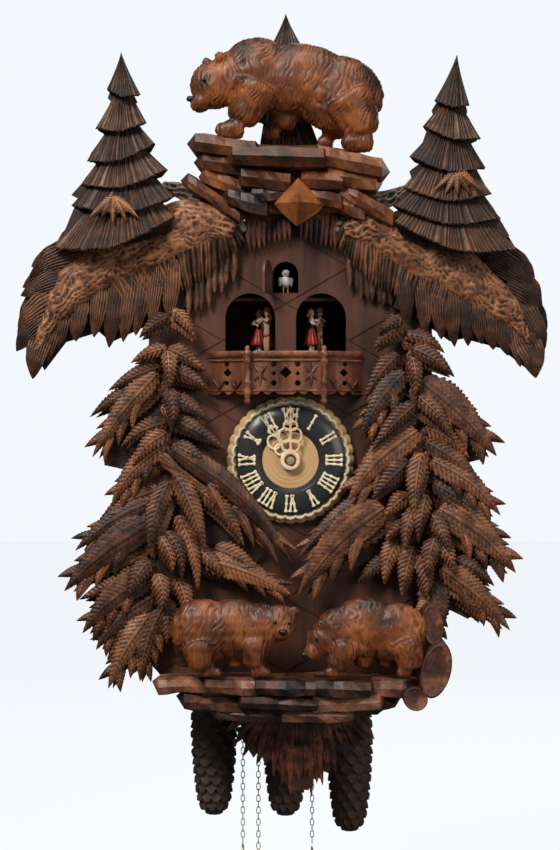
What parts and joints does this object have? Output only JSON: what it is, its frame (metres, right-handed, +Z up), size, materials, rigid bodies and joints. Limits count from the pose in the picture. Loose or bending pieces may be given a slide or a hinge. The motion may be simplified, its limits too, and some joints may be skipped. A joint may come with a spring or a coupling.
{
  "type": "cuckoo clock",
  "caption": "Large carved musical cuckoo clock with bears, fir trees, a dancers' balcony, Roman dial, pine-cone weights and brass pull chains.",
  "frame": {"origin": "centre of the wall-hook hole at the back face of the hanger plate", "axes": "+Z up, +X to the right as seen from the front, +Y back into the wall; the wall is the plane y = 0"},
  "size_m": [0.56, 0.25, 0.9274],
  "materials": {
    "case_wood": "dark stained oiled boards",
    "front_wood": "dark stained panel with scored lattice",
    "carved_wood": "hand carved linden, walnut stain, satin wax",
    "bear_wood": "hand carved linden, warm honey-brown stain, satin wax",
    "rock_wood": "faceted chisel cuts, reddish stain",
    "dial_oak": "turned and lacquered",
    "dial_black": "satin black",
    "ivory_plastic": "cream, slightly translucent look",
    "clock_brass": "satin",
    "clock_steel": "brushed",
    "weight_iron": "dark brown lacquered casting",
    "figure_paint": "hand painted turned wood",
    "bird_paint": "grey-white painted wood",
    "dress_red": "red paint",
    "suit_brown": "brown paint",
    "bellows_paper": "white folded paper and card"
  },
  "bodies": {
    "clock_case": {"case_front_panel": "front_wood", "case_sides": "case_wood", "case_floor": "case_wood", "case_shelves": "case_wood", "roof_boards": "case_wood", "back_rails": "case_wood", "hanger_plate": "clock_steel", "crest_tree": "carved_wood", "crest_bear": "bear_wood", "crest_rock": "rock_wood", "roof_tree_left": "carved_wood", "roof_tree_right": "carved_wood", "roof_bough_left": "carved_wood", "roof_bough_right": "carved_wood", "front_tree_left": "carved_wood", "front_tree_right": "carved_wood", "ledge_rock": "rock_wood", "ledge_log": "rock_wood", "base_tail": "carved_wood", "bear_left": "bear_wood", "bear_right": "bear_wood", "balcony_floor": "front_wood", "balcony_front": "carved_wood", "balcony_posts": "front_wood", "dial_board": "dial_oak", "dial_ring": "dial_black", "movement_frame": "clock_brass", "gong": "clock_steel", "music_bed": "clock_brass", "bellows_boxes": "case_wood"},
    "minute_arbor": {"centre_arbor": "clock_steel", "minute_hand": "ivory_plastic", "hand_nut": "clock_brass"},
    "hour_pipe": {"hour_wheel": "clock_brass", "hour_hand": "ivory_plastic"},
    "motion_wheel": {"minute_wheel": "clock_brass"},
    "great_arbor": {"great_wheel": "clock_brass"},
    "dancers": {"carousel": "case_wood", "dancer_women": "dress_red", "dancer_men": "suit_brown"},
    "bird": {"cuckoo_bird": "bird_paint"},
    "bird_door": {"cuckoo_door": "front_wood"},
    "pendulum_body": {"pendulum": "case_wood"},
    "rear_door": {"back_door": "case_wood"},
    "hammer": {"gong_hammer": "clock_steel"},
    "music_drum": {"music_cylinder": "clock_brass"},
    "bellows_left": {"bellows_lid_left": "bellows_paper"},
    "bellows_right": {"bellows_lid_right": "bellows_paper"},
    "left_weight": {"weight_left": "weight_iron", "weight_chain_left": "clock_brass"},
    "left_pull": {"pull_chain_left": "clock_brass"},
    "left_chain_wheel": {"chain_wheel_left": "clock_brass"},
    "middle_weight": {"weight_middle": "weight_iron", "weight_chain_middle": "clock_brass"},
    "middle_pull": {"pull_chain_middle": "clock_brass"},
    "middle_chain_wheel": {"chain_wheel_middle": "clock_brass"},
    "right_weight": {"weight_right": "weight_iron", "weight_chain_right": "clock_brass"},
    "right_pull": {"pull_chain_right": "clock_brass"},
    "right_chain_wheel": {"chain_wheel_right": "clock_brass"}
  },
  "joints": [
    {"name": "minute_turn", "type": "hinge", "parent": "clock_case", "child": "minute_arbor", "pos_m": [0, -0.19, -0.226], "axis": [0, 1, 0], "continuous": true},
    {"name": "hour_turn", "type": "hinge", "parent": "clock_case", "child": "hour_pipe", "pos_m": [0, -0.185, -0.226], "axis": [0, 1, 0], "continuous": true},
    {"name": "motion_turn", "type": "hinge", "parent": "clock_case", "child": "motion_wheel", "pos_m": [0.016, -0.134, -0.226], "axis": [0, 1, 0], "continuous": true},
    {"name": "great_turn", "type": "hinge", "parent": "clock_case", "child": "great_arbor", "pos_m": [-0.0198, -0.112, -0.262], "axis": [0, 1, 0], "continuous": true},
    {"name": "left_weight_run", "type": "slide", "parent": "clock_case", "child": "left_weight", "axis": [0, 0, -1], "range_m": [0, 0.12]},
    {"name": "left_pull_run", "type": "slide", "parent": "clock_case", "child": "left_pull", "axis": [0, 0, 1], "range_m": [0, 0.12]},
    {"name": "left_chain_wheel_turn", "type": "hinge", "parent": "clock_case", "child": "left_chain_wheel", "pos_m": [-0.06725, -0.097, -0.262], "axis": [0, 1, 0], "range_deg": [-437, 0]},
    {"name": "middle_weight_run", "type": "slide", "parent": "clock_case", "child": "middle_weight", "axis": [0, 0, -1], "range_m": [0, 0.12]},
    {"name": "middle_pull_run", "type": "slide", "parent": "clock_case", "child": "middle_pull", "axis": [0, 0, 1], "range_m": [0, 0.12]},
    {"name": "middle_chain_wheel_turn", "type": "hinge", "parent": "clock_case", "child": "middle_chain_wheel", "pos_m": [-0.0198, -0.097, -0.262], "axis": [0, 1, 0], "range_deg": [0, 465.1]},
    {"name": "right_weight_run", "type": "slide", "parent": "clock_case", "child": "right_weight", "axis": [0, 0, -1], "range_m": [0, 0.12]},
    {"name": "right_pull_run", "type": "slide", "parent": "clock_case", "child": "right_pull", "axis": [0, 0, 1], "range_m": [0, 0.12]},
    {"name": "right_chain_wheel_turn", "type": "hinge", "parent": "clock_case", "child": "right_chain_wheel", "pos_m": [0.0445, -0.097, -0.262], "axis": [0, 1, 0], "range_deg": [0, 335.9]},
    {"name": "bird_call", "type": "slide", "parent": "clock_case", "child": "bird", "axis": [0, 1, 0], "range_m": [0, 0.025]},
    {"name": "bird_door_swing", "type": "hinge", "parent": "clock_case", "child": "bird_door", "pos_m": [-0.0205, -0.172, -0.033], "axis": [0, 0, 1], "range_deg": [0, 105]},
    {"name": "dancers_turn", "type": "hinge", "parent": "clock_case", "child": "dancers", "pos_m": [-0.001, -0.108, -0.113], "axis": [0, 0, 1], "continuous": true},
    {"name": "pendulum_swing", "type": "hinge", "parent": "clock_case", "child": "pendulum_body", "pos_m": [0, -0.03, -0.2], "axis": [0, 1, 0], "range_deg": [-4, 4]},
    {"name": "rear_door_swing", "type": "hinge", "parent": "clock_case", "child": "rear_door", "pos_m": [-0.136, -0.0035, -0.255], "axis": [0, 0, 1], "range_deg": [0, 90]},
    {"name": "hammer_lift", "type": "hinge", "parent": "clock_case", "child": "hammer", "pos_m": [-0.045, -0.045, -0.285], "axis": [0, 1, 0], "range_deg": [0, 20]},
    {"name": "music_turn", "type": "hinge", "parent": "clock_case", "child": "music_drum", "pos_m": [0, -0.028, -0.158], "axis": [1, 0, 0], "continuous": true},
    {"name": "bellows_left_lift", "type": "hinge", "parent": "clock_case", "child": "bellows_left", "pos_m": [-0.12, -0.058, -0.115], "axis": [-1, 0, 0], "range_deg": [0, 15]},
    {"name": "bellows_right_lift", "type": "hinge", "parent": "clock_case", "child": "bellows_right", "pos_m": [0.12, -0.058, -0.115], "axis": [-1, 0, 0], "range_deg": [0, 15]}
  ],
  "couplings": [
    {"joint": "hour_turn", "follows": "minute_turn", "ratio": 0.083333},
    {"joint": "motion_turn", "follows": "minute_turn", "ratio": -0.33333},
    {"joint": "great_turn", "follows": "minute_turn", "ratio": -0.125},
    {"joint": "left_pull_run", "follows": "left_weight_run", "ratio": 1},
    {"joint": "left_chain_wheel_turn", "follows": "left_weight_run", "rad_per_m": -63.492},
    {"joint": "middle_pull_run", "follows": "middle_weight_run", "ratio": 1},
    {"joint": "middle_chain_wheel_turn", "follows": "middle_weight_run", "rad_per_m": 67.568},
    {"joint": "right_pull_run", "follows": "right_weight_run", "ratio": 1},
    {"joint": "right_chain_wheel_turn", "follows": "right_weight_run", "rad_per_m": 48.78},
    {"joint": "bird_door_swing", "follows": "bird_call", "rad_per_m": 72.955}
  ]
}
